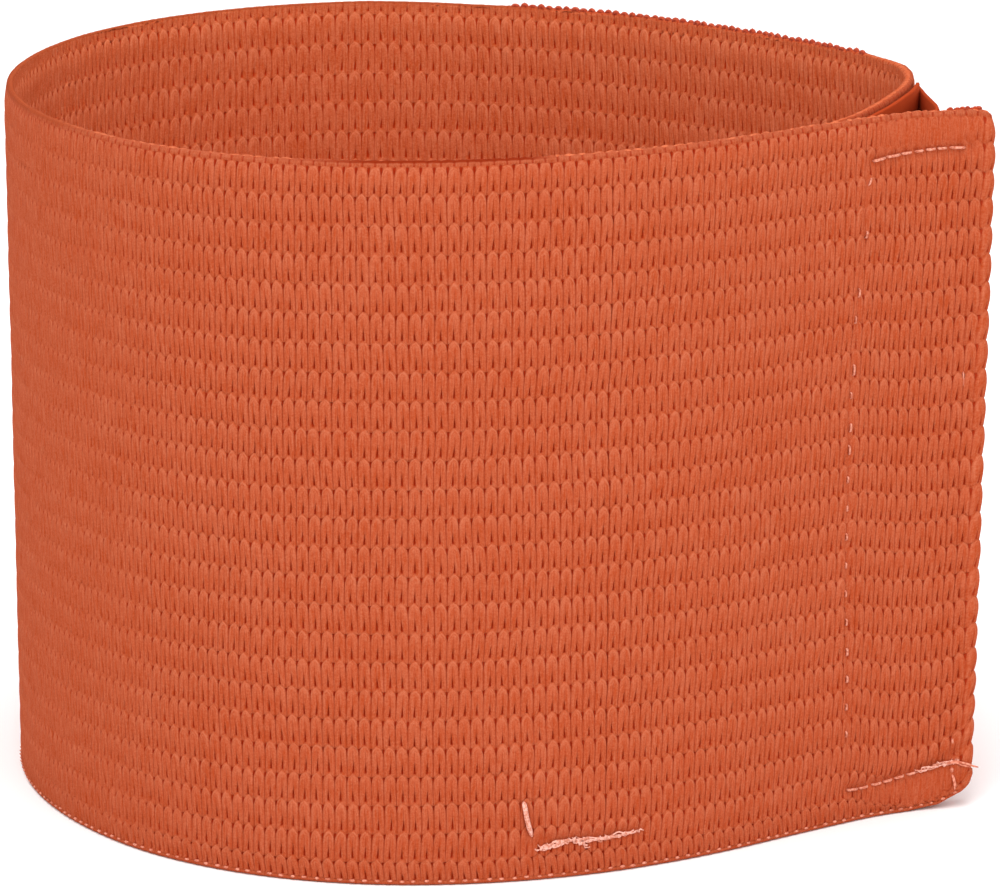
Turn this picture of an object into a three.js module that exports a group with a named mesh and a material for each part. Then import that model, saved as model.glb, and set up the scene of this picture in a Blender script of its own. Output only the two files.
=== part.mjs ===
// Knitted elastic armband standing on its lower edge, closed into a loop.
// Millimetres, +Z up. The front of the loop faces -Y and the lap is at the right (+X).
import * as THREE from 'three';

// Strip
const HEIGHT = 75; // width of the flat strip, upright in the loop
const THICK = 1.2; // elastic
const TAPE = 0.6; // hook tape and loop tape
const GAP = 0.2; // between layers that lie against each other
const LEAN = 1.7; // how far the top edge stands to the right of the lower edge
const FLARE = 0.017; // how much wider the loop is at the top than at the bottom

// Where the strip's path begins in plan (cut end of the hem) and the way it points.
const START = { x: 45.75, y: 26.45, heading: 4.3 };

// The strip's path from the cut end of the hem to the free inner end.
// run: length along the strip. turn: degrees, clockwise negative.
// top: how far the upper edge is below HEIGHT, foot: how far the lower edge is above 0, both at the row's end.
const PATH = [
  { at: 'hem',             run: 3.8,  turn: 0,     top: 0,   foot: 1.4 },
  { at: 'fold, inner half', run: 1.3, turn: -90,   top: 0.5, foot: 3.0 },
  { at: 'fold, outer half', run: 1.3, turn: -90,   top: 0,   foot: 1.6 },
  { at: 'front end',       run: 2.4,  turn: 6.0,   top: 0,   foot: 0.4 },
  { at: 'front end',       run: 3.6,  turn: 9.1,   top: 0,   foot: 0 },
  { at: 'front shoulder',  run: 8,    turn: 14.4,  top: 0,   foot: 0 },
  { at: 'front right',     run: 12,   turn: 2.3,   top: 0,   foot: 0 },
  { at: 'front right',     run: 14,   turn: -11.2, top: 0,   foot: 0 },
  { at: 'front middle',    run: 20,   turn: -22,   top: 0,   foot: 0 },
  { at: 'front left',      run: 39.9, turn: -55.4, top: 0,   foot: 0 },
  { at: 'left side',       run: 37.9, turn: -36.7, top: 0,   foot: 0 },
  { at: 'back left',       run: 20,   turn: -21,   top: 0,   foot: 0 },
  { at: 'back left',       run: 20,   turn: -28.8, top: 0,   foot: 0 },
  { at: 'back',            run: 37.9, turn: -62.6, top: 0,   foot: 0 },
  { at: 'back right',      run: 20,   turn: -18.5, top: 0,   foot: 0 },
  { at: 'back right',      run: 20,   turn: -10,   top: 0,   foot: 0 },
  { at: 'back right',      run: 14,   turn: -9.8,  top: 0,   foot: 0 },
  { at: 'right side',      run: 11,   turn: -22.0, top: 0,   foot: 0 },
  { at: 'right side',      run: 14,   turn: -21.4, top: 0,   foot: 0 },
  { at: 'lap turn',        run: 7.6,  turn: -15.6, top: 0.4, foot: 0 },
  { at: 'lap turn',        run: 8.3,  turn: -24.2, top: 0.9, foot: 0 },
  { at: 'lap',             run: 8.5,  turn: -1.0,  top: 0.9, foot: 0 },
  { at: 'lap',             run: 13.3, turn: -9.8,  top: 0.9, foot: 0 },
  { at: 'inner end',       run: 12,   turn: -14.2, top: 0.9, foot: 0 },
];

// The hook tape: its sewn leg follows the strip between these two distances along it,
// then its tab bends away from the front end and reaches the loop tape.
const HOOK = { from: 12.5, to: 60.5, top: 1.0, foot: 1.2 };
const TAB = [
  { at: 'bend', run: 2.0,  turn: 72 },
  { at: 'tab',  run: 16.0, turn: 2 },
];
const TAB_TOP = 0.4;

// The loop tape: on the outside of the strip between these two distances along it.
const LOOP = { from: 291.0, to: 346.0, drop: 0.6, foot: 1.2 };

const STEP = { degrees: 4, length: 4 }; // facet limits

// Follows rows of { run, turn } from a pose and returns { s, x, y, heading, top, foot } stations.
function walk(x, y, heading, rows, top = 0, foot = 0, s = 0) {
  const out = [{ s, x, y, heading, top, foot }];
  for (const row of rows) {
    const n = Math.max(Math.ceil(Math.abs(row.turn) / STEP.degrees), Math.ceil(row.run / STEP.length));
    const dt = THREE.MathUtils.degToRad(row.turn / n);
    const chord = Math.abs(dt) > 1e-9 ? (row.run / n) * Math.sin(dt / 2) / (dt / 2) : row.run / n;
    const t0 = top, f0 = foot;
    for (let i = 1; i <= n; i++) {
      const mid = THREE.MathUtils.degToRad(heading + row.turn / n / 2);
      x += chord * Math.cos(mid);
      y += chord * Math.sin(mid);
      heading += row.turn / n;
      s += row.run / n;
      top = t0 + ((row.top ?? 0) - t0) * i / n;
      foot = f0 + ((row.foot ?? 0) - f0) * i / n;
      out.push({ s, x, y, heading, top, foot });
    }
  }
  return out;
}

// The station at a distance along a path, between two of its stations.
function at(path, s) {
  const i = Math.max(1, path.findIndex((p) => p.s >= s));
  const a = path[i - 1], b = path[i], t = (s - a.s) / (b.s - a.s);
  const mix = (k) => a[k] + (b[k] - a[k]) * t;
  return { s, x: mix('x'), y: mix('y'), heading: mix('heading'), top: mix('top'), foot: mix('foot') };
}

// The stations from one distance to another.
const stretch = (path, from, to) =>
  [at(path, from), ...path.filter((p) => p.s > from + 0.2 && p.s < to - 0.2), at(path, to)];

// A station moved sideways; positive is towards the inside of the loop.
function aside(p, distance) {
  const h = THREE.MathUtils.degToRad(p.heading - 90);
  return { ...p, x: p.x + distance * Math.cos(h), y: p.y + distance * Math.sin(h) };
}

// A point of the standing band, with its lean and flare.
function stand(x, y, z) {
  const up = z / HEIGHT - 0.5;
  return [x * (1 + FLARE * up) + LEAN * up, y, z];
}

// An upright ribbon of the given thickness along stations, closed at both ends.
function ribbon(stations, thick) {
  const points = [], faces = [];
  for (const p of stations) {
    const outer = aside(p, -thick / 2), inner = aside(p, thick / 2);
    const low = p.foot, high = HEIGHT - p.top;
    points.push(stand(outer.x, outer.y, low), stand(inner.x, inner.y, low),
      stand(inner.x, inner.y, high), stand(outer.x, outer.y, high));
  }
  const quad = (a, b, c, d) => faces.push(a, b, c, a, c, d);
  for (let i = 0; i + 1 < stations.length; i++) {
    const a = 4 * i, b = a + 4;
    for (let k = 0; k < 4; k++) quad(a + k, b + k, b + (k + 1) % 4, a + (k + 1) % 4);
  }
  const e = 4 * (stations.length - 1);
  quad(0, 1, 2, 3);
  quad(e + 3, e + 2, e + 1, e);
  const geometry = new THREE.BufferGeometry();
  geometry.setAttribute('position', new THREE.Float32BufferAttribute(points.flat(), 3));
  geometry.setIndex(faces);
  return geometry;
}

const strip = walk(START.x, START.y, START.heading, PATH);
const layer = THICK / 2 + GAP + TAPE / 2;

// The tab starts where the sewn leg ends and walks the other way, so it is turned round to join it.
const leave = aside(at(strip, HOOK.from), layer);
const tab = walk(leave.x, leave.y, leave.heading + 180, TAB)
  .slice(1).reverse().map((p) => ({ ...p, heading: p.heading - 180, top: TAB_TOP, foot: HOOK.foot }));
const leg = stretch(strip, HOOK.from, HOOK.to)
  .map((p) => ({ ...aside(p, layer), top: HOOK.top, foot: HOOK.foot }));

const loop = stretch(strip, LOOP.from, LOOP.to)
  .map((p) => ({ ...aside(p, -layer), top: p.top + LOOP.drop, foot: LOOP.foot }));

const PIECES = [
  { name: 'elastic_band', geometry: ribbon(strip, THICK), colour: 0xc85430, roughness: 0.85 },
  { name: 'hook_tape', geometry: ribbon([...tab, ...leg], TAPE), colour: 0xa83c1e, roughness: 0.7 },
  { name: 'loop_tape', geometry: ribbon(loop, TAPE), colour: 0xb0421f, roughness: 0.9 },
];

// Centre the parts over the origin.
const box = new THREE.Box3();
for (const p of PIECES) {
  p.geometry.computeBoundingBox();
  box.union(p.geometry.boundingBox);
}
const middle = box.getCenter(new THREE.Vector3());

const group = new THREE.Group();
group.name = 'armband';
for (const p of PIECES) {
  p.geometry.translate(-middle.x, -middle.y, 0);
  p.geometry.computeVertexNormals();
  const mesh = new THREE.Mesh(p.geometry, new THREE.MeshStandardMaterial({ color: p.colour, roughness: p.roughness }));
  mesh.name = p.name;
  group.add(mesh);
}

export default group;
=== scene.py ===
# Knitted elastic armband standing on its lower edge. Sizes in millimetres, turned into metres in place().
import math

import bpy
import numpy as np
from mathutils import Matrix, Vector


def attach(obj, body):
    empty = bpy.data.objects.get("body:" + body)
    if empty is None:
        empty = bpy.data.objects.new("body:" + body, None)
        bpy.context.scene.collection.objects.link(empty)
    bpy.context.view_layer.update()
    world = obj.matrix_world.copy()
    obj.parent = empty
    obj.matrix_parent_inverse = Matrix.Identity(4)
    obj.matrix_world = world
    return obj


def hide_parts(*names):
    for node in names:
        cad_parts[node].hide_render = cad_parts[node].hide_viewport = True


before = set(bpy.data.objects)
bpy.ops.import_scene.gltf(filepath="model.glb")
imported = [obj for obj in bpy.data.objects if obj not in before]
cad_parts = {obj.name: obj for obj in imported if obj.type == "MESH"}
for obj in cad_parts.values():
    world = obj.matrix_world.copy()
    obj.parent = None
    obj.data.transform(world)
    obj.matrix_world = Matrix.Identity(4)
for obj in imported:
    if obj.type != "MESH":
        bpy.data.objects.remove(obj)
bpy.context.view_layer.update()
rng = np.random.default_rng(75)


def table(columns, *values):
    names = columns.split()
    return [dict(zip(names, v)) for v in values]


# ---------------------------------------------------------------- the band's own sizes
HEIGHT, THICK, TAPE, GAP = 75.0, 1.2, 0.6, 0.2
CLOTH = 0.45  # of the tapes, without hooks and nap
LEAN, FLARE = 1.7, 0.017
MIDDLE = (-0.12907, 49.35383)  # of the plan, moved to the origin
START = (45.75, 26.45, 4.3)  # x, y, heading at the cut end of the hem

PATH = table(
    "at                run   turn  top  foot",
    ("hem",            3.8,  0.0,  0.0, 1.4),
    ("fold inner",     1.3, -90.0, 0.5, 3.0),
    ("fold outer",     1.3, -90.0, 0.0, 1.6),
    ("front end",      2.4,  6.0,  0.0, 0.4),
    ("front end",      3.6,  9.1,  0.0, 0.0),
    ("front shoulder", 8.0,  14.4, 0.0, 0.0),
    ("front right",    12.0, 2.3,  0.0, 0.0),
    ("front right",    14.0, -11.2, 0.0, 0.0),
    ("front middle",   20.0, -22.0, 0.0, 0.0),
    ("front left",     39.9, -55.4, 0.0, 0.0),
    ("left side",      37.9, -36.7, 0.0, 0.0),
    ("back left",      20.0, -21.0, 0.0, 0.0),
    ("back left",      20.0, -28.8, 0.0, 0.0),
    ("back",           37.9, -62.6, 0.0, 0.0),
    ("back right",     20.0, -18.5, 0.0, 0.0),
    ("back right",     20.0, -10.0, 0.0, 0.0),
    ("back right",     14.0, -9.8, 0.0, 0.0),
    ("right side",     11.0, -22.0, 0.0, 0.0),
    ("right side",     14.0, -21.4, 0.0, 0.0),
    ("lap turn",       7.6,  -15.6, 0.4, 0.0),
    ("lap turn",       8.3,  -24.2, 0.9, 0.0),
    ("lap",            8.5,  -1.0, 0.9, 0.0),
    ("lap",            13.3, -9.8, 0.9, 0.0),
    ("inner end",      12.0, -14.2, 0.9, 0.0),
)
LENGTH = sum(r["run"] for r in PATH)
HOOK = {"from": 12.5, "to": 60.5, "top": 1.0, "foot": 1.2}
TAB = table("run turn", (2.0, 72.0), (16.0, 2.0))
LOOP = {"from": 291.0, "to": 346.0, "drop": 0.6, "foot": 1.2}


def walk(x, y, heading, rows, top=0.0, foot=0.0):
    """The path in small steps: arrays s, x, y, heading, top, foot."""
    s, out = 0.0, [(0.0, x, y, heading, top, foot)]
    for r in rows:
        n = max(2, round(r["run"] / 0.1))
        dt = r["turn"] / n
        chord = r["run"] / n * (math.sin(math.radians(dt) / 2) / (math.radians(dt) / 2) if dt else 1.0)
        t0, f0, t1, f1 = top, foot, r.get("top", 0.0), r.get("foot", 0.0)
        for i in range(1, n + 1):
            mid = math.radians(heading + dt / 2)
            x, y, heading, s = x + chord * math.cos(mid), y + chord * math.sin(mid), heading + dt, s + r["run"] / n
            top, foot = t0 + (t1 - t0) * i / n, f0 + (f1 - f0) * i / n
            out.append((s, x, y, heading, top, foot))
    return dict(zip(("s", "x", "y", "heading", "top", "foot"), np.array(out).T))


def along(path, s, key):
    return np.interp(s, path["s"], path[key])


# Small settling of the cloth off the plain path, at distances along the strip.
SETTLE = table(
    "s     x      y",
    (0.0,   -0.40, 0.0),
    (5.1,   -0.78, 0.0),
    (8.0,   -0.72, 0.0),
    (20.0,  -0.08, 0.0),
    (95.0,  0.0,   0.0),
    (115.0, -0.40, 0.1),
    (130.0, -0.55, 0.0),
    (144.0, -0.58, 0.0),
    (165.0, -0.22, 0.1),
    (184.0, -0.10, 0.1),
    (200.0, 0.0,   0.0),
    (225.0, 0.1,   0.1),
    (242.0, 0.5,   0.4),
    (262.0, 0.3,   0.3),
    (272.0, 0.6,   0.5),
    (276.0, 0.9,   0.5),
    (281.0, 1.0,   0.5),
    (286.0, 1.25,  0.4),
    (290.0, 1.22,  0.2),
    (293.0, 1.00,  0.1),
    (295.0, 0.75,  0.0),
    (298.0, 0.45,  0.0),
    (301.0, 0.10,  0.0),
    (304.0, -0.25, 0.0),
    (308.0, -0.50, -0.1),
    (313.0, -0.40, -0.1),
    (320.0, 0.0,   0.0),
)
# How far the upper rim sags below the flat strip's edge.
SAG = table(
    "s     top",
    (0.0,   0.50),
    (4.0,   0.50),
    (6.4,   0.30),
    (10.0,  0.15),
    (14.0,  0.00),
    (208.0, 0.00),
    (220.0, 0.30),
    (270.0, 0.35),
    (280.0, 0.20),
    (286.0, 0.00),
)


def place(path, s, aside, z):
    """Points beside the path, in metres in the part's frame; aside is positive towards the inside of the loop."""
    s, aside, z = np.broadcast_arrays(s, aside, z)
    h = np.radians(along(path, s, "heading") - 90.0)
    x = along(path, s, "x") + aside * np.cos(h)
    y = along(path, s, "y") + aside * np.sin(h)
    if path is strip:
        x = x + np.interp(s, [r["s"] for r in SETTLE], [r["x"] for r in SETTLE])
        y = y + np.interp(s, [r["s"] for r in SETTLE], [r["y"] for r in SETTLE])
    up = z / HEIGHT - 0.5
    x = x * (1 + FLARE * up) + LEAN * up
    return np.stack([x - MIDDLE[0], y - MIDDLE[1], z], -1) * 0.001


strip = walk(*START, PATH)


# ---------------------------------------------------------------- the knit
# Each cell of the knit is one loop: u runs across its column from -0.5 to 0.5, v down its row from 0 to 1.
# start: where down its row the first, cut row begins; first: its height; selvedge: height of the rim's chain of bumps.
OUTER = {"columns": 276, "rows": 25, "start": 0.0, "first": 3.32, "row": 3.0, "selvedge": 0.6, "hem_edge": 0.55}
INNER = {"columns": 235, "rows": 23, "start": 0.5, "first": 1.35, "row": 3.405, "selvedge": 0.35, "hem_edge": 0.55}
# How far the outer rows lie off even rows: all of them, and more for each row down.
DRIFT = table(
    "s     all    each",
    (6.0,   0.15, -0.060),
    (11.6, -0.20, -0.075),
    (15.5, -0.20, -0.055),
    (20.0,  0.15, -0.008),
    (27.0,  0.20, -0.012),
    (38.0,  0.10, -0.010),
    (49.0,  0.05, -0.005),
    (60.0, -0.03,  0.000),
    (74.0, -0.10,  0.000),
    (87.0, -0.22,  0.000),
    (97.0, -0.12,  0.000),
    (107.0, -0.05, 0.000),
    (120.0, -0.05, 0.000),
)

DETAIL = {  # where the grid lines of one cell run
    "fine": {"u": [-0.5, -0.43, -0.26, -0.09, 0.0, 0.09, 0.26, 0.43], "v": [0.0, 0.05, 0.12, 0.22, 0.35, 0.5, 0.66, 0.82, 0.94]},
    "middle": {"u": [-0.5, -0.41, -0.16, 0.0, 0.16, 0.41], "v": [0.0, 0.06, 0.16, 0.34, 0.58, 0.8, 0.94]},
    "coarse": {"u": [-0.5, -0.25, 0.0, 0.25], "v": [0.0, 0.1, 0.3, 0.6, 0.88]},
    "plain": {"u": [-0.5, -0.25, 0.0, 0.25], "v": [0.0, 0.13, 0.42, 0.85]},
}


def smooth(a, b, x):
    t = np.clip((x - a) / (b - a), 0, 1)
    return t * t * (3 - 2 * t)


def marks(u, v):
    """The dark places of a cell: the slit between its legs, the notch beside its head, and the line between legs."""
    au = np.abs(u)
    side = 0.5 - au
    ws = 0.012 + 0.062 * smooth(0.55, 0.93, v)
    slit = (1 - smooth(ws * 0.5, ws * 1.6, au)) * smooth(0.46, 0.76, v) * (1 - smooth(0.96, 1.0, v))
    wn = 0.014 + 0.066 * (1 - smooth(0.04, 0.34, v))
    notch = (1 - smooth(wn * 0.5, wn * 1.6, side)) * smooth(-0.01, 0.04, v) * (1 - 0.6 * smooth(0.2, 0.42, v))
    line = 0.3 * (1 - smooth(0.01, 0.05, au)) * smooth(0.1, 0.3, v)
    return slit, notch, line


def relief(u, v, ribs):
    """Height of the knit over its base, in mm. ribs: how strongly each row swells."""
    au = np.abs(u)
    row = ribs * np.interp(v, [0.0, 0.04, 0.12, 0.35, 0.55, 0.78, 0.93, 1.0], [0.01, 0.05, 0.08, 0.10, 0.08, 0.04, 0.01, 0.01])
    c = 0.25
    head = np.sqrt(u * u + ((0.2 - v) * 2.36) ** 2)
    d = np.where(v < 0.2, np.abs(head - c), np.abs(au - c))
    round_ = np.sqrt(np.clip(1 - (d / 0.29) ** 2, 0, 1))
    inside = np.where(v < 0.2, head < c, au < c)
    valley = np.interp(v, [0.0, 0.2, 0.45, 0.7, 1.0], [0.12, 0.16, 0.4, 0.8, 1.0])
    leg = np.where(inside, 1 - valley * (1 - round_), round_)
    # rows lie close against each other, so only the notches between heads are deep
    leg = leg + 0.6 * (1 - smooth(0.0, 0.22, np.minimum(v, 1 - v))) * (1 - leg)
    slit, notch, line = marks(u, v)
    return row + 0.18 * leg - 0.22 * slit - 0.20 * notch - 0.05 * line - 0.13


def waves(count, size, wavelength):
    """A smooth seeded wobble over (a, b)."""
    k = rng.normal(0, 1, (count, 2)) * (2 * math.pi / wavelength)
    phase = rng.uniform(0, 2 * math.pi, count)
    size = size / math.sqrt(count / 2)
    return lambda a, b: size * sum(np.sin(k[i, 0] * a + k[i, 1] * b + phase[i]) for i in range(count))


row_wave = waves(9, 0.07, 16.0)
column_wave = waves(9, 0.07, 14.0)
sway = waves(7, 0.10, 34.0)

# Where the seams press the knit flat. depth: how far the surface is drawn in along the line.
SEAMS = table(
    "s0    z0    s1    z1    width depth",
    (19.6, 70.5, 7.6,  71.0, 0.55, 0.30),
    (20.1, 70.0, 21.0, 56.0, 0.35, 0.12),
    (21.0, 56.0, 21.7, 40.0, 0.35, 0.12),
    (21.7, 40.0, 20.8, 5.0,  0.35, 0.12),
    (20.7, 3.8,  14.6, 3.9,  0.55, 0.28),
    (14.6, 3.9,  6.4,  5.2,  0.60, 0.30),
    (59.3, 8.0,  58.8, 4.6,  0.40, 0.25),
    (58.8, 4.2,  46.7, 4.1,  0.55, 0.22),
)
# Where the loops are pulled smooth. amount: 0 full knit, 1 smooth.
PULLED = table(
    "s0    s1    z0    z1    amount",
    (6.8,  19.0, 70.6, 74.4, 0.80),
    (6.8,  13.0, 0.6,  4.4,  0.80),
    (12.5, 18.0, 1.4,  3.7,  0.60),
    (57.8, 59.4, 2.6,  4.6,  0.50),
    (3.8,  6.4,  0.0,  75.0, 0.25),
)


def segment(s, z, r):
    ax, az = r["s1"] - r["s0"], r["z1"] - r["z0"]
    t = np.clip(((s - r["s0"]) * ax + (z - r["z0"]) * az) / (ax * ax + az * az), 0, 1)
    return np.hypot(s - r["s0"] - t * ax, z - r["z0"] - t * az)


def pulled(s, z):
    flat, drawn = np.zeros_like(s), np.zeros_like(s)
    for r in PULLED:
        inside = smooth(r["s0"] - 0.6, r["s0"] + 0.6, s) * (1 - smooth(r["s1"] - 0.6, r["s1"] + 0.6, s))
        inside = inside * smooth(r["z0"] - 0.5, r["z0"] + 0.5, z) * (1 - smooth(r["z1"] - 0.5, r["z1"] + 0.5, z))
        flat = np.maximum(flat, r["amount"] * inside)
    for r in SEAMS:
        d = segment(s, z, r)
        near = np.exp(-((d / r["width"]) ** 2))
        flat = np.maximum(flat, 0.8 * np.exp(-((d / (r["width"] * 0.8)) ** 2)))
        drawn = np.maximum(drawn, r["depth"] * near)
    return flat, drawn


def nodes_of(cells, share, first=0):
    return np.concatenate([[first + k + x for x in share] for k in range(cells)] + [[first + cells]])


def face(name, side, knit, columns, rows, detail, top_rim=True, foot_rim=True, amount=1.0, ribs=1.0):
    """One face of the band over some of its columns and rows, wrapped over its selvedges to the middle of the edge."""
    pitch = LENGTH / knit["columns"]
    share = DETAIL[detail]
    U = nodes_of(columns[1] - columns[0], [x + 0.5 for x in share["u"]], columns[0])
    V = nodes_of(rows[1] - rows[0], share["v"], rows[0])
    start = knit["start"]
    if top_rim:
        V = np.concatenate([[start], V[V > start + 0.02]])
    lines = [start, 1.0] + [float(k) for k in range(2, knit["rows"])] + [float(knit["rows"])]
    heights = [HEIGHT - knit["selvedge"], HEIGHT - knit["first"]]
    heights += [HEIGHT - knit["first"] - knit["row"] * k for k in range(1, knit["rows"] - 1)]
    heights += [knit["hem_edge"]]
    rim = start + np.array([-1.2, -1.1, -1.0, -0.85, -0.7, -0.55, -0.4, -0.25, -0.12]) if top_rim else np.zeros(0)
    foot = np.array([0.12, 0.25, 0.4, 0.55, 0.7, 0.85, 1.0]) if foot_rim else np.zeros(0)
    Vall = np.concatenate([rim, V, knit["rows"] + foot])
    UU, VV = np.meshgrid(U, Vall)
    body_v = np.clip(VV, start, knit["rows"])
    s = UU * pitch
    u = UU - np.floor(UU + 1e-9) - 0.5
    v = body_v - np.floor(body_v + 1e-9)
    v = np.where(VV >= knit["rows"] - 1e-9, 1.0, v)
    col = np.clip(np.floor(UU + 1e-9).astype(int), 0, knit["columns"] - 1)
    row = np.clip(np.floor(body_v + 1e-9).astype(int), 0, knit["rows"] - 1)

    # unevenness of single loops, kept off their borders
    own = np.clip(1 - (2 * u) ** 2, 0, 1) * np.sin(math.pi * np.clip(v, 0, 1)) ** 0.5
    jitter = knit["jitter"]
    lean = 0.10 * (1 - smooth(44, 57, s)) if side < 0 else 0.12 * smooth(212, 232, s) - 0.08 * smooth(160, 175, s) * (1 - smooth(185, 200, s))
    lean = np.where(row == knit["rows"] - 1, -0.16 if side < 0 else 0.0, lean)
    held = smooth(0.0, 0.07, v) * (1 - smooth(0.93, 1.0, v))
    z = np.interp(body_v, lines, heights)
    if side < 0:
        middle_row = np.interp(body_v, [0.0, 1.0, knit["rows"] - 1.0, knit["rows"]], [0.0, 1.0, 1.0, 0.0])
        z = z + middle_row * (np.interp(s, [r["s"] for r in DRIFT], [r["all"] for r in DRIFT]) + np.interp(s, [r["s"] for r in DRIFT], [r["each"] for r in DRIFT]) * np.minimum(body_v, knit["rows"] - 1.0))
    # heads reach up between the legs of the row above, which dip between the heads
    border = np.minimum(v, 1 - v) / 0.17
    inner_rows = smooth(start, start + 0.3, body_v) * (1 - smooth(knit["rows"] - 0.45, knit["rows"] - 0.2, body_v))
    z = z + 0.17 * np.cos(2 * math.pi * u) * np.exp(-border ** 2) * inner_rows
    z = z + row_wave(s, row * 3.0 + side) * held + jitter[2][row, col] * 0.10 * own
    shift = pitch * (lean * (v - 0.5) * held + jitter[0][row, col] * 0.05 * own) + column_wave(z, s * 0.8) * smooth(0, 3, s) * (1 - smooth(LENGTH - 3, LENGTH, s))
    flat, drawn = pulled(s, z) if side < 0 else (np.zeros_like(s), np.zeros_like(s))
    # towards the left end of the front the loops are drawn flatter
    drawn_out = smooth(90, 112, s) * (1 - smooth(150, 170, s)) if side < 0 else 0.0 * s
    calm = amount * (1 - 0.85 * flat) * (1 - 0.3 * drawn_out) * (0.95 + 0.15 * jitter[1][row, col] * own)
    height = relief(u, v, ribs) * calm + sway(s, z) * 0.2 * smooth(2, 12, s) * (1 - smooth(285, 300, s)) - drawn
    if side < 0:  # the rows stand out as ribs round the fold at the front end and are pressed flatter under the loop tape
        height = height + 0.16 * np.sin(math.pi * np.clip(v, 0, 1)) * smooth(2.5, 4.5, s) * (1 - smooth(7, 11, s)) - 0.05
        height = height - 0.14 * smooth(288, 292, s)

    # selvedges: a chain of small rounded bumps, each between two loops
    above = np.clip(start - VV, 0, 1.2) if top_rim else np.zeros_like(VV)
    below = np.clip(VV - knit["rows"], 0, 1)
    chain = np.abs(np.cos(math.pi * UU)) ** 0.7
    small = 0.75 + 0.5 * jitter[3][0, col]
    bumps = np.interp(s, [0, 56, 62, 116, 128, 300, 306], [0.16, 0.16, 0.10, 0.08, 0.03, 0.03, 0.06])
    a = np.minimum(above, 1) * math.pi / 2
    edge_top = HEIGHT - knit["selvedge"]
    # the elastic thins out towards its upper rim
    thin = 0.36 * (1 - 0.8 * smooth(278, 287, s))
    base = (0.6 + height) * (1 - thin * (1 - smooth(0.2, 2.8, HEIGHT - z)))
    reach = base * np.cos(a) ** 0.6
    reach = reach + np.where(above > 0, bumps * (chain * small - 0.5) * np.clip(np.sin(2 * a), 0, 1) ** 0.5, 0)
    z = np.where(above > 0, edge_top + (knit["selvedge"] - 0.04 + bumps * (chain * small - 0.6)) * np.sin(a), z)
    # teeth of the picot edge along the back and the hem
    z = z + knit["teeth"](s) * np.sin(a) * np.where(above > 0, 1, 0)
    # the last rows of points run on over the middle of the rim and tuck in under the other face's
    reach = np.where(above > 1.05, np.interp(above, [1.1, 1.2], [-0.06, -0.15]), reach)
    z = np.where(above > 1.05, z - np.interp(above, [1.1, 1.2], [0.01, 0.27]), z)
    # the lower selvedge: a flat cord, then the rounded rim
    zb = np.interp(below, [0, 0.12, 0.25, 0.4, 0.55, 0.7, 0.85, 1.0], [0.55, 0.50, 0.42, 0.31, 0.20, 0.10, 0.03, 0.0])
    rb = np.interp(below, [0, 0.12, 0.25, 0.4, 0.55, 0.7, 0.85, 1.0], [0.0, 0.54, 0.62, 0.62, 0.58, 0.48, 0.28, 0.0])
    cord = 0.05 * np.abs(np.sin(math.pi * UU * 1.0)) ** 0.5
    reach = np.where(below > 0, rb + cord * np.sin(math.pi * below), reach)
    z = np.where(below > 0, zb, z)

    span_top = along(strip, s, "top") + np.interp(s, [r["s"] for r in SAG], [r["top"] for r in SAG])
    span_foot = along(strip, s, "foot")
    # only the ends of the strip's width give way where its edges rise or sag
    z = z + span_foot * (1 - smooth(0, 24, z)) - span_top * smooth(HEIGHT - 18, HEIGHT, z)
    s_at = np.clip(s + shift, 0, LENGTH)
    P = place(strip, s_at, side * reach, z)
    edge = np.maximum(np.minimum(above, 1), np.where(below > 0, 1.0, 0.0))
    plain = np.clip(np.maximum(np.maximum(flat, smooth(0.0, 0.35, edge)), 0.35 * drawn_out), 0, 1)
    obj = sheet_mesh(name, P, UU, VV, side < 0, {"plain": plain, "rim": np.where(below > 0, -1.0, edge)})
    obj.data.materials.append(knit_material if side < 0 else inside_lit_material)
    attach(obj, "root")
    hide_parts("elastic_band")
    return obj


def sheet_mesh(name, P, UU, VV, outward, values):
    nv, nu = UU.shape
    index = np.arange(nv * nu).reshape(nv, nu)
    quads = np.stack([index[:-1, :-1], index[:-1, 1:], index[1:, 1:], index[1:, :-1]], -1).reshape(-1, 4)
    if not outward:
        quads = quads[:, ::-1]
    return mesh_object(name, P.reshape(-1, 3), quads, np.stack([UU, VV], -1).reshape(-1, 2), {k: x.reshape(-1) for k, x in values.items()})


def mesh_object(name, points, faces, uv=None, values=None):
    faces = np.ascontiguousarray(faces, dtype=np.int32)
    n, k = faces.shape
    mesh = bpy.data.meshes.new(name)
    mesh.vertices.add(len(points))
    mesh.vertices.foreach_set("co", np.ascontiguousarray(points, dtype=np.float32).ravel())
    mesh.loops.add(n * k)
    mesh.loops.foreach_set("vertex_index", faces.ravel())
    mesh.polygons.add(n)
    mesh.polygons.foreach_set("loop_start", np.arange(0, n * k, k, dtype=np.int32))
    if uv is not None:
        layer = mesh.uv_layers.new(name="knit")
        layer.data.foreach_set("uv", np.ascontiguousarray(uv[faces.ravel()], dtype=np.float32).ravel())
    for key, x in (values or {}).items():
        mesh.attributes.new(key, "FLOAT", "POINT").data.foreach_set("value", np.ascontiguousarray(x, dtype=np.float32))
    mesh.update(calc_edges=True)
    mesh.validate()
    mesh.polygons.foreach_set("use_smooth", np.ones(n, dtype=bool))
    obj = bpy.data.objects.new(name, mesh)
    bpy.context.scene.collection.objects.link(obj)
    return obj


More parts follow.
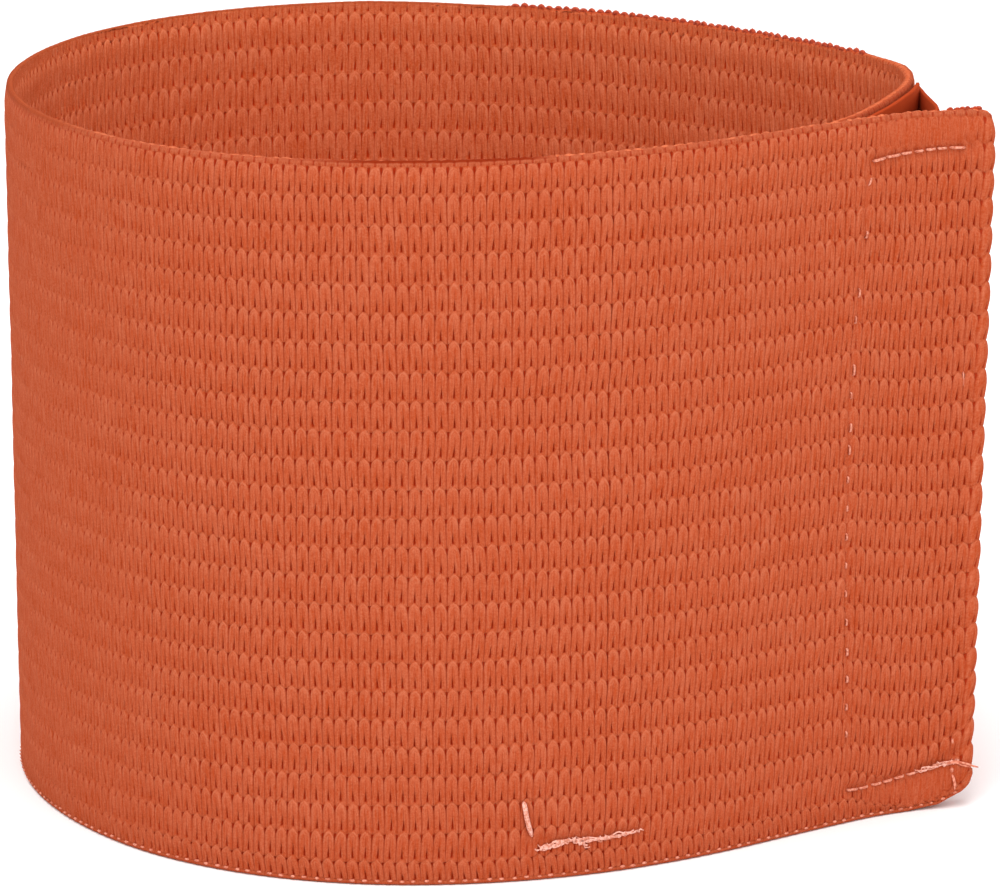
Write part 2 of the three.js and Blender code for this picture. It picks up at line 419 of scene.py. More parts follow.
# ---------------------------------------------------------------- materials
class Graph:
    """Short calls for shader nodes."""

    def __init__(self, name):
        self.material = bpy.data.materials.new(name)
        self.material.use_nodes = True
        self.nodes, self.links = self.material.node_tree.nodes, self.material.node_tree.links
        self.surface = self.nodes["Principled BSDF"]

    def put(self, socket, value):
        if isinstance(value, bpy.types.NodeSocket):
            self.links.new(value, socket)
        else:
            socket.default_value = value

    def math(self, operation, a, b=None, clamp=False):
        n = self.nodes.new("ShaderNodeMath")
        n.operation, n.use_clamp = operation, clamp
        self.put(n.inputs[0], a)
        if b is not None:
            self.put(n.inputs[1], b)
        return n.outputs[0]

    def step(self, value, low, high, out_low=0.0, out_high=1.0):
        n = self.nodes.new("ShaderNodeMapRange")
        n.interpolation_type = "SMOOTHSTEP"
        for key, x in (("Value", value), ("From Min", low), ("From Max", high), ("To Min", out_low), ("To Max", out_high)):
            self.put(n.inputs[key], x)
        return n.outputs["Result"]

    def mix(self, share, a, b):
        n = self.nodes.new("ShaderNodeMix")
        n.data_type = "RGBA"
        self.put(n.inputs[0], share)
        self.put(n.inputs[6], a)
        self.put(n.inputs[7], b)
        return n.outputs[2]

    def attribute(self, name):
        n = self.nodes.new("ShaderNodeAttribute")
        n.attribute_name = name
        return n.outputs["Fac"]

    def uv(self):
        n = self.nodes.new("ShaderNodeUVMap")
        n.uv_map = "knit"
        parts = self.nodes.new("ShaderNodeSeparateXYZ")
        self.links.new(n.outputs[0], parts.inputs[0])
        return parts.outputs[0], parts.outputs[1]

    def vector(self, x, y, z=0.0):
        n = self.nodes.new("ShaderNodeCombineXYZ")
        for i, value in enumerate((x, y, z)):
            self.put(n.inputs[i], value)
        return n.outputs[0]

    def noise(self, vector, scale, detail=2.0, roughness=0.5, distortion=0.0):
        n = self.nodes.new("ShaderNodeTexNoise")
        self.put(n.inputs["Vector"], vector)
        n.inputs["Scale"].default_value = scale
        n.inputs["Detail"].default_value = detail
        n.inputs["Roughness"].default_value = roughness
        n.inputs["Distortion"].default_value = distortion
        return n.outputs["Fac"]

    def place(self):
        return self.nodes.new("ShaderNodeTexCoord").outputs["Object"]

    def bump(self, height, distance, strength=1.0, normal=None):
        n = self.nodes.new("ShaderNodeBump")
        n.inputs["Strength"].default_value = strength
        n.inputs["Distance"].default_value = distance
        self.put(n.inputs["Height"], height)
        if normal is not None:
            self.put(n.inputs["Normal"], normal)
        return n.outputs[0]


YARN = (0.416, 0.0585, 0.0150)
YARN_LIGHT = (0.532, 0.138, 0.067)
# colour of the painted shade in the knit's recesses
YARN_PAINTED_SHADE = (0.330, 0.015, 0.0008)
TAPE_COLOUR = (0.420, 0.052, 0.0130, 1.0)
THREAD = (0.70, 0.31, 0.22, 1.0)


def make_knit(name, painted_light_gain, outside):
    g = Graph(name)
    U, V = g.uv()
    u = g.math("SUBTRACT", g.math("FRACT", U), 0.5)
    v = g.math("FRACT", V)
    au = g.math("ABSOLUTE", u)
    side = g.math("SUBTRACT", 0.5, au)
    # painted shade in the slit between the legs
    ws = g.step(v, 0.55, 0.93, 0.012, 0.074)
    slit = g.step(au, g.math("MULTIPLY", ws, 0.5), g.math("MULTIPLY", ws, 1.6), 1.0, 0.0)
    slit = g.math("MULTIPLY", slit, g.step(v, 0.46, 0.76))
    slit = g.math("MULTIPLY", slit, g.step(v, 0.96, 1.0, 1.0, 0.0))
    # painted shade in the notch beside the head, narrowing to the line between loops
    wn = g.step(v, 0.04, 0.34, 0.080, 0.014)
    if outside:  # wider just under the rim
        wn = g.math("MULTIPLY", wn, g.step(V, 0.15, 0.4, 1.3, 0.7))
        wn = g.math("MULTIPLY", wn, g.step(V, 0.8, 1.0, 1.0, 1.4))
    notch = g.step(side, g.math("MULTIPLY", wn, 0.5), g.math("MULTIPLY", wn, 1.6), 1.0, 0.0)
    notch = g.math("MULTIPLY", notch, g.step(v, -0.01, 0.04))
    notch = g.math("MULTIPLY", notch, g.step(v, 0.2, 0.42, 1.0, 0.4))
    # faint painted shade along the line between the legs
    line = g.math("MULTIPLY", g.step(au, 0.01, 0.05, 0.30, 0.0), g.step(v, 0.1, 0.3))
    # painted shade where the loops press against their neighbours
    crease_shade = g.step(side, 0.0, 0.07, 0.34, 0.0)
    dark = g.math("MAXIMUM", g.math("MAXIMUM", slit, notch), g.math("MAXIMUM", line, crease_shade))
    plain = g.attribute("plain")
    # where the knit lies smooth the marks give way to a faint even painted shade
    dark = g.math("MULTIPLY", dark, g.math("SUBTRACT", 1.0, plain))
    dark = g.math("MAXIMUM", dark, g.math("MULTIPLY", plain, 0.06))
    # painted shade in the gaps of the rim's chain of bumps
    rim = g.attribute("rim")
    rim_gap_shade = g.math("MULTIPLY", g.step(rim, 0.02, 0.2, 0.0, 0.7), g.step(au, 0.02, 0.14, 1.0, 0.0))
    rim_gap_shade = g.math("MULTIPLY", rim_gap_shade, g.step(rim, 0.6, 1.0, 1.0, 0.2))
    dark = g.math("MAXIMUM", dark, rim_gap_shade)
    # painted shade on the picots of the hem and along the back, which lie in shadow
    columns = OUTER["columns"] if outside else INNER["columns"]
    at = lambda s: s / LENGTH * columns
    hem = g.step(U, at(3.6), at(4.4), 0.9, 0.0)
    back = g.math("MULTIPLY", g.step(U, at(TEETH["from"] - 3), at(TEETH["from"] + 3), 0.0, 0.4), g.step(U, at(TEETH["to"] - 2), at(TEETH["to"] + 2), 1.0, 0.0))
    dark = g.math("MAXIMUM", dark, g.math("MULTIPLY", g.step(rim, 0.1, 0.5), g.math("MAXIMUM", hem, back)))
    # painted shade along the top of the rim left of the hook tape
    rim_top_shade = g.math("MULTIPLY", g.step(U, at(56.0), at(60.0)), g.step(U, at(74.0), at(86.0), 1.0, 0.0))
    rim_top_shade = g.math("MULTIPLY", g.step(rim, 0.35 if outside else 0.0, 0.6 if outside else 0.2), rim_top_shade)
    # painted shade on the rim round the left side, so it is darker than the faces
    left_rim_shade = g.math("MULTIPLY", g.step(U, at(104.0), at(120.0)), g.step(U, at(222.0), at(230.0), 1.0, 0.0))
    left_rim_shade = g.math("MULTIPLY", g.step(rim, 0.1, 0.5), left_rim_shade)
    # filaments run along the legs and round the head: across counts from the middle of the loop to its border
    rise = g.math("MULTIPLY", g.math("MAXIMUM", g.math("SUBTRACT", 0.2, v), 0.0), 2.36)
    rise = g.math("MULTIPLY", rise, g.math("SUBTRACT", 1.0, plain))
    across = g.math("SQRT", g.math("ADD", g.math("MULTIPLY", u, u), g.math("MULTIPLY", rise, rise)))
    which = g.math("ADD", g.math("MULTIPLY", g.math("FLOOR", U), 3.7), g.math("MULTIPLY", g.math("FLOOR", V), 7.3))
    which = g.math("ADD", which, g.math("MULTIPLY", g.math("SIGN", u), 1.9))
    filament = g.noise(g.vector(g.math("MULTIPLY", across, 8.0), g.math("MULTIPLY", V, 1.6), which), 1.0, 2.0, 0.6, 0.2)
    hair = g.noise(g.vector(g.math("MULTIPLY", U, 6.5), g.math("MULTIPLY", V, 15.0), which), 1.0, 3.0, 0.8, 0.3)
    cloud = g.noise(g.vector(g.math("MULTIPLY", U, 0.21), g.math("MULTIPLY", V, 0.33)), 1.0, 3.0, 0.55)
    tone = g.math("ADD", g.math("MULTIPLY", g.math("SUBTRACT", filament, 0.5), 1.5), 0.34)
    tone = g.math("ADD", tone, g.math("MULTIPLY", g.math("SUBTRACT", cloud, 0.5), 0.25))
    tone = g.math("ADD", tone, g.math("MULTIPLY", g.math("SUBTRACT", hair, 0.5), 2.0))
    # the heads catch a little more light, most of all round their border
    head = g.math("MULTIPLY", g.step(v, 0.0, 0.06), g.step(v, 0.10, 0.34, 1.0, 0.0))
    head = g.math("MULTIPLY", head, g.step(au, 0.12, 0.42, 0.20, 0.05))
    arc = g.math("MULTIPLY", g.step(across, 0.24, 0.36), g.step(across, 0.38, 0.48, 1.0, 0.0))
    arc = g.math("MULTIPLY", arc, g.math("MULTIPLY", g.step(v, 0.0, 0.08), g.step(v, 0.25, 0.6, 0.24, 0.05)))
    lit = g.math("MULTIPLY", g.math("ADD", head, arc), g.math("SUBTRACT", 1.0, plain))
    # painted highlight along the top of the rim on the front
    lit = g.math("ADD", lit, g.math("MULTIPLY", g.step(rim, 0.1, 0.4, 0.0, 0.25), g.step(U, at(112.0), at(135.0), 1.0, 0.0)))
    tone = g.math("ADD", tone, lit, clamp=True)
    # tint brightens the colours by the painted light gain, 1 on the outer face
    tint = lambda c: tuple(min(1.0, x * k) for x, k in zip(c, painted_light_gain)) + (1.0,)
    colour = g.mix(tone, tint(YARN), tint(YARN_LIGHT))
    # the painted shade darkens the yarn towards its shade colour
    colour = g.mix(g.math("MULTIPLY", dark, 0.9), colour, tint(YARN_PAINTED_SHADE))
    # painted shade along the top of the rim left of the hook tape
    colour = g.mix(g.math("MULTIPLY", rim_top_shade, 0.95), colour, (0.270, 0.022, 0.0035, 1.0))
    # painted shade on the rim round the left side
    colour = g.mix(g.math("MULTIPLY", left_rim_shade, 0.75), colour, (0.360, 0.060, 0.018, 1.0))
    g.put(g.surface.inputs["Base Color"], colour)
    g.surface.inputs["Roughness"].default_value = 0.85
    g.surface.inputs["Specular IOR Level"].default_value = 0.02
    g.surface.inputs["Sheen Weight"].default_value = 0.01
    g.surface.inputs["Sheen Roughness"].default_value = 0.5
    g.surface.inputs["Sheen Tint"].default_value = (1.0, 0.55, 0.38, 1.0)
    fine = g.math("ADD", g.math("MULTIPLY", filament, 0.8), g.math("MULTIPLY", hair, 0.8))
    fine = g.math("SUBTRACT", fine, g.math("MULTIPLY", dark, 0.6))
    g.put(g.surface.inputs["Normal"], g.bump(fine, 0.00014, 0.9))
    return g.material


def make_tape(name, colour, nap):
    g = Graph(name)
    U, V = g.uv()
    warp = g.math("SINE", g.math("MULTIPLY", U, 2 * math.pi / 0.42))
    weft = g.math("SINE", g.math("MULTIPLY", V, 2 * math.pi / 0.36))
    weave = g.math("MULTIPLY", warp, weft)
    cloud = g.noise(g.place(), 260.0, 3.0, 0.6)
    hair = g.noise(g.place(), 2600.0, 4.0, 0.75)
    tone = g.math("ADD", g.math("MULTIPLY", weave, 0.06), g.math("ADD", g.math("MULTIPLY", cloud, 0.35), g.math("MULTIPLY", hair, nap)), clamp=True)
    dark = tuple(x * 0.80 for x in colour[:3]) + (1.0,)
    light = tuple(x * 1.18 for x in colour[:3]) + (1.0,)
    g.put(g.surface.inputs["Base Color"], g.mix(tone, dark, light))
    g.surface.inputs["Roughness"].default_value = 0.95
    g.surface.inputs["Specular IOR Level"].default_value = 0.02
    g.put(g.surface.inputs["Normal"], g.bump(g.math("ADD", weave, g.math("MULTIPLY", hair, 2.0 * nap)), 0.00004, 0.6))
    return g.material


def make_thread(name, colour, gloss):
    g = Graph(name)
    ply = g.noise(g.place(), 3600.0, 3.0, 0.6)
    light = tuple(min(1.0, x * k) for x, k in zip(colour, (1.22, 1.5, 1.7))) + (1.0,)
    dark = tuple(x * k for x, k in zip(colour, (0.82, 0.60, 0.50))) + (1.0,)
    g.put(g.surface.inputs["Base Color"], g.mix(g.step(ply, 0.36, 0.64), dark, light))
    g.surface.inputs["Roughness"].default_value = gloss
    g.surface.inputs["Specular IOR Level"].default_value = 0.3
    g.surface.inputs["Sheen Weight"].default_value = 0.1
    g.put(g.surface.inputs["Normal"], g.bump(ply, 0.00004, 0.5))
    return g.material


TEETH = {"from": 225.5, "to": 277.0}  # where picots stand up along the inner rim
knit_material = make_knit("elastic_knit", (1.0, 1.0, 1.0), True)
# the inner face gets a lighter copy of the knit, painted light where the inside lies in shade
inside_lit_material = make_knit("elastic_knit_inside_painted_light", (1.33, 1.52, 1.50), False)
hook_material = make_tape("hook_tape_weave", TAPE_COLOUR, 0.25)
loop_material = make_tape("loop_tape_nap", (0.42, 0.052, 0.013, 1.0), 0.5)
thread_material = make_thread("sewing_thread", THREAD, 0.5)
seam_material = make_thread("seam_thread", (0.60, 0.20, 0.118, 1.0), 0.6)
picot_material = make_thread("selvedge_yarn", (0.64, 0.20, 0.115, 1.0), 0.6)
# a darker copy of the selvedge yarn, as painted shade on the picots along the back and the hem
picot_shade_material = make_thread("selvedge_yarn_painted_shade", (0.40, 0.046, 0.012, 1.0), 0.8)


# ---------------------------------------------------------------- the band
def teeth(s):
    """Small irregular picots that stand up along the back of the inner rim and on the hem."""
    apart = np.where(s < 5, 0.65, 0.93)
    k = np.floor(s / apart).astype(int)
    t = s / apart - k
    size = tooth_size[np.clip(k, 0, len(tooth_size) - 1)]
    zone = smooth(TEETH["from"] - 3, TEETH["from"] + 3, s) * (1 - smooth(TEETH["to"] - 2, TEETH["to"] + 2, s)) + 1 - smooth(3.4, 4.2, s)
    return 0.35 * zone * size * np.sin(math.pi * t) ** 0.8


tooth_size = rng.uniform(0.15, 0.62, 500)
for knit in (OUTER, INNER):
    knit["jitter"] = [rng.uniform(-1, 1, (knit["rows"], knit["columns"])) for _ in range(4)]
    knit["teeth"] = teeth
knit_pieces = [
    face("band_front_right", -1, OUTER, (0, 40), (0, 25), "fine"),
    face("band_front_middle", -1, OUTER, (40, 79), (0, 25), "fine"),
    face("band_front_left", -1, OUTER, (79, 118), (0, 25), "middle"),
    face("band_back", -1, OUTER, (118, 276), (0, 25), "coarse"),
    face("band_inside_upper", 1, INNER, (0, 235), (0, 7), "middle", foot_rim=False, amount=0.85, ribs=0.45),
    face("band_inside_lower", 1, INNER, (0, 235), (7, 23), "plain", top_rim=False, amount=0.85, ribs=0.45),
]


# ---------------------------------------------------------------- the tapes
def ribbon(name, path, s0, s1, side, top, foot, material, node, amount=0.0):
    """A closed tape with rounded edges; side moves its middle off the path."""
    across = np.linspace(0, 1, 26)
    s = np.arange(s0, s1 + 1e-6, (s1 - s0) / max(8, round((s1 - s0) / 0.7)))
    low, high = np.full_like(s, foot), HEIGHT - top(s)
    half = CLOTH / 2
    front = [(-half, k) for k in across]
    back = [(half, k) for k in across[::-1]]
    loop_ = [(-half * 0.6, -0.0025)] + front + [(-half * 0.6, 1.0025), (half * 0.6, 1.0025)] + back + [(half * 0.6, -0.0025)]
    A = np.array([a for a, _ in loop_])[:, None]
    K = np.array([k for _, k in loop_])[:, None]
    Z = low[None, :] + np.clip(K, -0.004, 1.004) * (high - low)[None, :]
    S = np.broadcast_to(s[None, :], Z.shape)
    P = place(path, S, side + A, Z)
    nv, nu = Z.shape
    index = np.arange(nv * nu).reshape(nv, nu)
    nxt = np.roll(index, -1, axis=0)
    quads = np.stack([index[:, :-1], nxt[:, :-1], nxt[:, 1:], index[:, 1:]], -1).reshape(-1, 4)
    uv = np.stack([S, Z], -1).reshape(-1, 2)
    # the cut ends, closed by quads between front and back
    m = len(front)
    ends = []
    for column, flip in ((0, False), (nu - 1, True)):
        a = index[0:m + 2, column]
        b = index[m + 2:, column][::-1]
        q = np.stack([a[:-1], b[:-1], b[1:], a[1:]], -1)
        ends.append(q[:, ::-1] if flip else q)
    obj = mesh_object(name, P.reshape(-1, 3), np.concatenate([quads] + ends), uv)
    obj.data.materials.append(material)
    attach(obj, "root")
    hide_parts(node)
    return obj


layer = THICK / 2 + GAP + TAPE / 2
LOOP_LAYER = THICK / 2 + 0.05 + CLOTH / 2  # the loop tape lies close against the band


def leave_pose():
    s = HOOK["from"]
    h = math.radians(float(along(strip, s, "heading")) - 90)
    return (float(along(strip, s, "x")) + layer * math.cos(h), float(along(strip, s, "y")) + layer * math.sin(h), float(along(strip, s, "heading")) + 180)


# The hook tape's own middle line: the tab, turned round, then the sewn leg.
tab = walk(*leave_pose(), TAB)
tab_length = float(tab["s"][-1])
leg_s = np.arange(HOOK["from"], HOOK["to"] + 1e-6, 0.2)
leg_h = np.radians(along(strip, leg_s, "heading") - 90)
leg_x, leg_y = along(strip, leg_s, "x") + layer * np.cos(leg_h), along(strip, leg_s, "y") + layer * np.sin(leg_h)
leg_run = np.concatenate([[0], np.cumsum(np.hypot(np.diff(leg_x), np.diff(leg_y)))])
# The tab's free end comes to rest on the outside of the loop tape and of the band beside it, its upper corner lower.
TAB_REST = table(
    "y     x      drop",
    (25.0, 44.55, 0.50),
    (27.4, 44.51, 0.50),
    (30.0, 44.38, 0.65),
    (33.0, 44.20, 0.80),
    (38.5, 44.00, 1.20),
    (42.0, 43.94, 1.45),
    (45.0, 43.76, 1.55),
    (47.0, 43.62, 1.85),
)
more = np.arange(0.1, 3.4, 0.1)
end_h = math.radians(tab["heading"][-1])
for key, x in (("x", tab["x"][-1] + more * math.cos(end_h)), ("y", tab["y"][-1] + more * math.sin(end_h)), ("heading", np.full_like(more, tab["heading"][-1])), ("s", tab["s"][-1] + more)):
    tab[key] = np.concatenate([tab[key], x])
tab_length = float(tab["s"][-1])
rest_x = np.interp(tab["y"], [r["y"] for r in TAB_REST], [r["x"] for r in TAB_REST])
tab["x"] = tab["x"] + (rest_x - tab["x"]) * smooth(2.0, 5.0, tab["s"])
turn = np.degrees(np.arctan2(np.gradient(tab["y"]), np.gradient(tab["x"])))
tab["heading"] = np.where(tab["s"] > 5, turn, tab["heading"])
tab_drop = np.interp(tab["y"], [r["y"] for r in TAB_REST], [r["drop"] for r in TAB_REST])[::-1]
hook_path = {
    "s": np.concatenate([tab_length - tab["s"][::-1], tab_length + leg_run[1:]]),
    "x": np.concatenate([tab["x"][::-1], leg_x[1:]]),
    "y": np.concatenate([tab["y"][::-1], leg_y[1:]]),
    "heading": np.concatenate([tab["heading"][::-1] - 180, along(strip, leg_s, "heading")[1:]]),
}
hook_end = float(hook_path["s"][-1])
drop_s = np.concatenate([tab_length - tab["s"][::-1], [tab_length + 1.0]])
drop_z = np.concatenate([tab_drop, [HOOK["top"]]])
hook_piece = ribbon("hook_tape_cloth", hook_path, 0.0, hook_end, 0.0, lambda s: np.interp(s, drop_s, drop_z), HOOK["foot"], hook_material, "hook_tape")
loop_start = LOOP["from"] + 3.0
loop_piece = ribbon("loop_tape_cloth", strip, loop_start, LOOP["to"], -LOOP_LAYER, lambda s: along(strip, s, "top") + LOOP["drop"], LOOP["foot"], loop_material, "loop_tape")


# ---------------------------------------------------------------- thread
def spline(points, n):
    """n points on a smooth line through the given ones."""
    p = np.array(points, float)
    if len(p) == 2:
        return p[0] + (p[1] - p[0]) * np.linspace(0, 1, n)[:, None]
    p = np.vstack([2 * p[0] - p[1], p, 2 * p[-1] - p[-2]])
    t = np.linspace(0, len(p) - 3 - 1e-6, n)
    i, f = np.floor(t).astype(int), (t % 1)[:, None]
    a, b, c, d = p[i], p[i + 1], p[i + 2], p[i + 3]
    return 0.5 * (2 * b + (c - a) * f + (2 * a - 5 * b + 4 * c - d) * f ** 2 + (3 * b - a - 3 * c + d) * f ** 3)


def tube(line, radius, sides=6):
    """Points and quads of a tube with tapered ends along a line in metres; radius in mm, one for each point."""
    n = len(line)
    tangent = np.gradient(line, axis=0)
    tangent /= np.linalg.norm(tangent, axis=1)[:, None] + 1e-12
    ref = np.where(np.abs(tangent[:, 1:2]) > 0.9, [[1.0, 0, 0]], [[0, 1.0, 0]])
    a = np.cross(tangent, ref)
    a /= np.linalg.norm(a, axis=1)[:, None]
    b = np.cross(tangent, a)
    ang = np.linspace(0, 2 * math.pi, sides, endpoint=False)
    ring = (np.cos(ang)[None, :, None] * a[:, None, :] + np.sin(ang)[None, :, None] * b[:, None, :]) * (np.asarray(radius)[:, None, None] * 0.001)
    points = (line[:, None, :] + ring).reshape(-1, 3)
    index = np.arange(n * sides).reshape(n, sides)
    nxt = np.roll(index, -1, axis=1)
    quads = np.stack([index[:-1], nxt[:-1], nxt[1:], index[1:]], -1).reshape(-1, 4)
    # close both ends with a fan point each
    points = np.vstack([points, line[0], line[-1]])
    first, last = n * sides, n * sides + 1
    caps = [(index[0, (k + 1) % sides], index[0, k], first, first) for k in range(sides)]
    caps += [(index[-1, k], index[-1, (k + 1) % sides], last, last) for k in range(sides)]
    return points, quads, np.array([c[:3] for c in caps])


def thread_object(name, strokes, material, sides=6):
    """strokes: (points as (s, z, lift), thickness in mm, steps). lift is over the band's outer face."""
    points, quads, caps, at = [], [], [], 0
    for way, thick, steps in strokes:
        p = spline(way, steps)
        line = place(strip, p[:, 0], -(THICK / 2 + p[:, 2]), p[:, 1])
        t = np.linspace(0, 1, steps)
        radius = thick / 2 * (0.35 + 0.65 * np.clip(np.minimum(t, 1 - t) * 5, 0, 1) ** 0.6)
        q = tube(line, radius, sides)
        points.append(q[0]); quads.append(q[1] + at); caps.append(q[2] + at)
        at += len(q[0])
    points, quads, caps = np.vstack(points), np.vstack(quads), np.vstack(caps)
    tris = np.vstack([quads[:, [0, 1, 2]], quads[:, [0, 2, 3]], caps])
    obj = mesh_object(name, points, tris)
    obj.data.materials.append(material)
    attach(obj, "root")
    return obj


STITCHES = table(  # each row is one stitch on the outer face
    "s0    z0    s1    z1    thick lift",
    (19.55, 70.45, 17.9, 70.62, 0.26, 0.10),
    (17.75, 70.68, 16.0, 70.78, 0.26, 0.12),
    (15.8,  70.82, 14.6, 70.88, 0.24, 0.11),
    (14.1,  70.90, 13.2, 70.95, 0.24, 0.11),
    (12.8,  70.97, 11.7, 71.00, 0.24, 0.11),
    (11.4,  71.00, 10.4, 71.00, 0.24, 0.12),
    (10.0,  71.00, 8.2,  70.92, 0.25, 0.13),
    (19.75, 68.75, 20.1, 67.95, 0.20, 0.06),
    (20.1,  63.2,  20.25, 62.5, 0.24, 0.08),
    (20.85, 57.3,  20.95, 56.4, 0.22, 0.08),
    (21.25, 54.5,  21.3, 53.7,  0.20, 0.06),
    (21.3,  49.4,  21.35, 48.2, 0.26, 0.10),
    (21.6,  46.5,  21.6, 45.8,  0.20, 0.06),
    (21.5,  43.2,  21.6, 42.3,  0.24, 0.09),
    (21.65, 40.9,  21.6, 39.9,  0.24, 0.10),
    (21.7,  37.6,  21.75, 36.9, 0.22, 0.08),
    (21.75, 34.5,  21.75, 33.9, 0.24, 0.09),
    (21.7,  31.5,  21.7, 30.8,  0.24, 0.09),
    (21.7,  28.4,  21.7, 27.8,  0.24, 0.10),
    (21.6,  25.4,  21.6, 24.7,  0.22, 0.09),
    (21.4,  22.3,  21.4, 21.6,  0.24, 0.10),
    (21.2,  19.1,  21.2, 18.3,  0.26, 0.10),
    (21.1,  16.1,  21.1, 15.4,  0.26, 0.10),
    (21.1,  13.1,  21.1, 12.4,  0.26, 0.10),
    (21.0,  10.1,  21.0, 9.5,   0.24, 0.08),
    (20.65, 3.65,  19.2, 3.55,  0.26, 0.11),
    (19.0,  3.55,  17.8, 3.60,  0.24, 0.12),
    (17.2,  3.65,  16.0, 3.72,  0.24, 0.11),
    (15.7,  3.76,  14.6, 3.88,  0.24, 0.11),
    (14.2,  3.95,  13.1, 4.12,  0.24, 0.11),
    (12.7,  4.18,  11.6, 4.30,  0.24, 0.12),
    (7.35,  7.70,  7.35, 7.15,  0.26, 0.12),
    (7.35,  4.45,  7.3,  4.05,  0.30, 0.14),
    (7.6,   47.3,  7.5,  45.5,  0.16, 0.05),
)


def bowed(r):
    ds, dz = r["s1"] - r["s0"], r["z1"] - r["z0"]
    mid = ((r["s0"] + r["s1"]) / 2, (r["z0"] + r["z1"]) / 2)
    return [(r["s0"], r["z0"], -0.22), (r["s0"] + ds * 0.15, r["z0"] + dz * 0.15, r["lift"] * 0.7), (mid[0], mid[1], r["lift"]),
            (r["s1"] - ds * 0.15, r["z1"] - dz * 0.15, r["lift"] * 0.7), (r["s1"], r["z1"], -0.22)]


upright = [r for r in STITCHES if r["s0"] > 19 and abs(r["z1"] - r["z0"]) > abs(r["s1"] - r["s0"])]  # sunk deep in the knit
seam = thread_object("seam_stitches", [(bowed(r), r["thick"] * 1.12, 12) for r in STITCHES if r not in upright], seam_material)
sunk = thread_object("seam_stitches_sunk", [(bowed({**r, "lift": r["lift"] * 0.75}), r["thick"] * 0.95, 10) for r in upright], seam_material, 5)

# The single tack, its bundle of back stitches, and the bundle at the lower right corner.
BUNDLES = table(
    "s0    z0   s1    z1   strands spread thick lift",
    (57.6, 3.55, 54.0, 4.15, 12,   0.30,  0.17, 0.16),
    (54.6, 4.05, 50.2, 3.75, 12,   0.24,  0.17, 0.18),
    (51.0, 3.70, 46.6, 4.20, 10,   0.17,  0.16, 0.16),
    (54.3, 4.00, 52.6, 3.05, 7,    0.15,  0.16, 0.20),
    (58.7, 3.35, 55.6, 3.60, 8,    0.20,  0.15, 0.16),
    (11.4, 4.25, 8.6,  5.00, 10,   0.20,  0.15, 0.16),
    (9.0,  4.90, 6.4,  5.20, 10,   0.22,  0.15, 0.18),
)
strokes = [([(59.45, 8.45, -0.2), (59.4, 8.0, 0.14), (59.2, 6.8, 0.26), (58.9, 5.6, 0.22), (58.55, 4.7, -0.1)], 0.54, 18),
           ([(59.3, 8.3, -0.2), (59.25, 7.6, 0.20), (59.05, 6.2, 0.24), (58.75, 5.3, 0.12)], 0.26, 14)]
for r in BUNDLES:
    ds, dz = r["s1"] - r["s0"], r["z1"] - r["z0"]
    for k in range(r["strands"]):
        a, b = sorted(rng.uniform(0, 1, 2))
        b = min(1.0, max(b, a + 0.35))
        t = np.linspace(a, b, 6)
        off = rng.normal(0, r["spread"] * 0.55)
        way = [(r["s0"] + ds * x + rng.normal(0, 0.14), r["z0"] + dz * x + off * (1 - 2 * x * 0.4) + rng.normal(0, r["spread"] * 0.5),
                r["lift"] * rng.uniform(0.35, 1.25)) for x in t]
        way = [(way[0][0], way[0][1], -0.15)] + way + [(way[-1][0] - 0.1, way[-1][1], -0.15)]
        strokes.append((way, r["thick"] * rng.uniform(0.7, 1.15), 16))
tacks = thread_object("tack_stitches", strokes, thread_material, 5)

# Loose ends at the lower right corner.
loose = [
    ([(8.0, 5.05, 0.16), (6.9, 5.25, 0.3), (6.2, 5.0, 0.45), (5.8, 4.6, 0.6), (5.5, 4.3, 0.9)], 0.22, 16),
    ([(8.2, 4.95, 0.16), (7.0, 5.1, 0.34), (6.3, 4.8, 0.4), (5.9, 4.5, 0.5)], 0.2, 14),
    ([(7.35, 4.0, 0.0), (7.2, 3.4, 0.22), (7.0, 2.6, 0.26), (6.9, 1.9, 0.1)], 0.2, 14),
    ([(7.25, 3.9, 0.0), (7.0, 3.2, 0.2), (6.8, 2.4, 0.22)], 0.16, 12),
]
ends = thread_object("loose_thread", loose, picot_material, 5)

# Light dashes of yarn along the lower selvedge, one for each column.
dashes = []
pitch = LENGTH / OUTER["columns"]
for k in range(3, OUTER["columns"]):
    s = (k + 0.5) * pitch + rng.normal(0, 0.05)
    foot = float(along(strip, s, "foot"))
    z = foot + 0.46 + rng.normal(0, 0.03)
    w = 0.27 * rng.uniform(0.75, 1.15)
    dashes.append(([(s - w, z - 0.03, -0.14), (s - w * 0.5, z, 0.03), (s, z + 0.02, 0.07), (s + w * 0.5, z, 0.03), (s + w, z - 0.03, -0.14)], 0.27 * rng.uniform(0.8, 1.15), 7))
picots = thread_object("selvedge_picots", dashes, picot_material, 4)

# Round picots that stand up along the back of the inner rim and on the hem, their yarn painted darker as shade. high:
# over the rim's edge.
PICOTS = table(
    "from  to     apart half  high  thick aside",
    (TEETH["from"], TEETH["to"], 1.06, 0.24, 0.40, 0.52, 0.10),
    (0.4,  4.0,   0.66,  0.15, 0.30, 0.42, 0.0),
)
knobs = []
for r in PICOTS:
    for s in np.arange(r["from"], r["to"], r["apart"]):
        s = s + rng.normal(0, 0.07)
        edge = HEIGHT - float(along(strip, s, "top")) - float(np.interp(s, [k["s"] for k in SAG], [k["top"] for k in SAG]))
        half, top_z = r["half"] * rng.uniform(0.8, 1.2), edge + r["high"] * rng.uniform(0.6, 1.15)
        lift = -THICK / 2 - r["aside"] + rng.normal(0, 0.05)
        knobs.append(([(s - half, edge - 0.35, lift), (s - half, edge, lift), (s, top_z - 0.2, lift), (s + half, edge, lift), (s + half, edge - 0.35, lift)], r["thick"] * rng.uniform(0.85, 1.1), 9))
rim_picots = thread_object("rim_picots", knobs, picot_shade_material, 6)

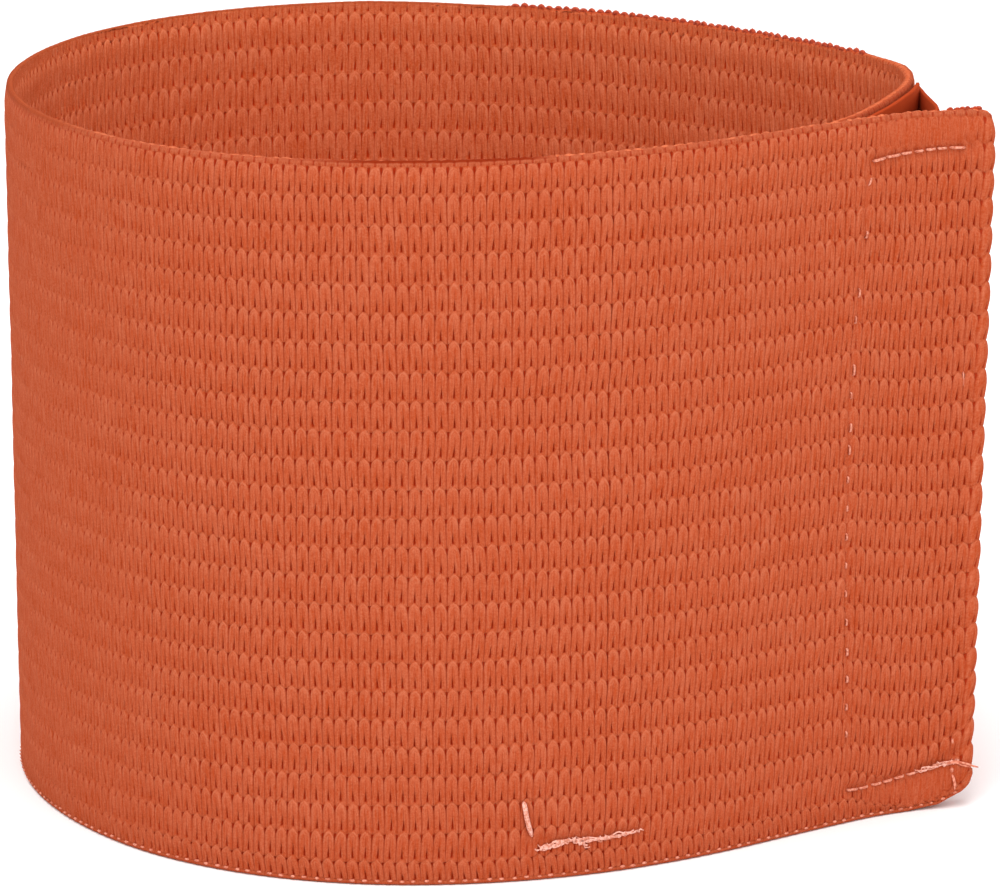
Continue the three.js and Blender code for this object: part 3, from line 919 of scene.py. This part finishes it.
# ---------------------------------------------------------------- floor, light, camera
floor = mesh_object("floor", np.array([(-4, -4, 0), (4, -4, 0), (4, 6, 0), (-4, 6, 0)], float), np.array([[0, 1, 2, 3]]))
fg = Graph("floor_paper")
fg.put(fg.surface.inputs["Base Color"], fg.mix(fg.noise(fg.place(), 3.0, 2.0), (0.95, 0.95, 0.95, 1), (0.97, 0.97, 0.97, 1)))
fg.surface.inputs["Roughness"].default_value = 0.9
fg.surface.inputs["Specular IOR Level"].default_value = 0.1
floor.data.materials.append(fg.material)

world = bpy.data.worlds.new("studio")
world.use_nodes = True
world.node_tree.nodes["Background"].inputs[0].default_value = (1.0, 1.0, 1.0, 1.0)
world.node_tree.nodes["Background"].inputs[1].default_value = 0.92
bpy.context.scene.world = world

LIGHTS = table(
    "name     x      y      z     size  power",
    ("key",  -0.20, -1.10, 1.25, 0.90, 8.6),
    ("fill",  0.80, -1.00, 0.60, 0.90, 2.8),
    ("top",   0.00, -0.20, 1.35, 0.80, 7.5),
)
for r in LIGHTS:
    data = bpy.data.lights.new(r["name"], "AREA")
    data.shape, data.size, data.energy = "DISK", r["size"], r["power"]
    lamp = bpy.data.objects.new(r["name"], data)
    bpy.context.scene.collection.objects.link(lamp)
    lamp.location = (r["x"], r["y"], r["z"])
    lamp.rotation_euler = (Vector((0, 0, 0.037)) - lamp.location).to_track_quat("-Z", "Y").to_euler()

camera_data = bpy.data.cameras.new("camera")
camera_data.lens, camera_data.sensor_width = 220.15, 36.0
camera_data.clip_start, camera_data.clip_end = 0.05, 20.0
camera = bpy.data.objects.new("camera", camera_data)
bpy.context.scene.collection.objects.link(camera)
tilt, roll = 13.709, -1.0
camera.matrix_world = (Matrix.Translation((0.000129, -0.64235, 0.19101))
                       @ Matrix.Rotation(math.radians(90 - tilt), 4, "X") @ Matrix.Rotation(math.radians(roll), 4, "Z"))
bpy.context.scene.camera = camera
bpy.context.scene.view_settings.view_transform = "Standard"
bpy.context.scene.view_settings.look = "None"
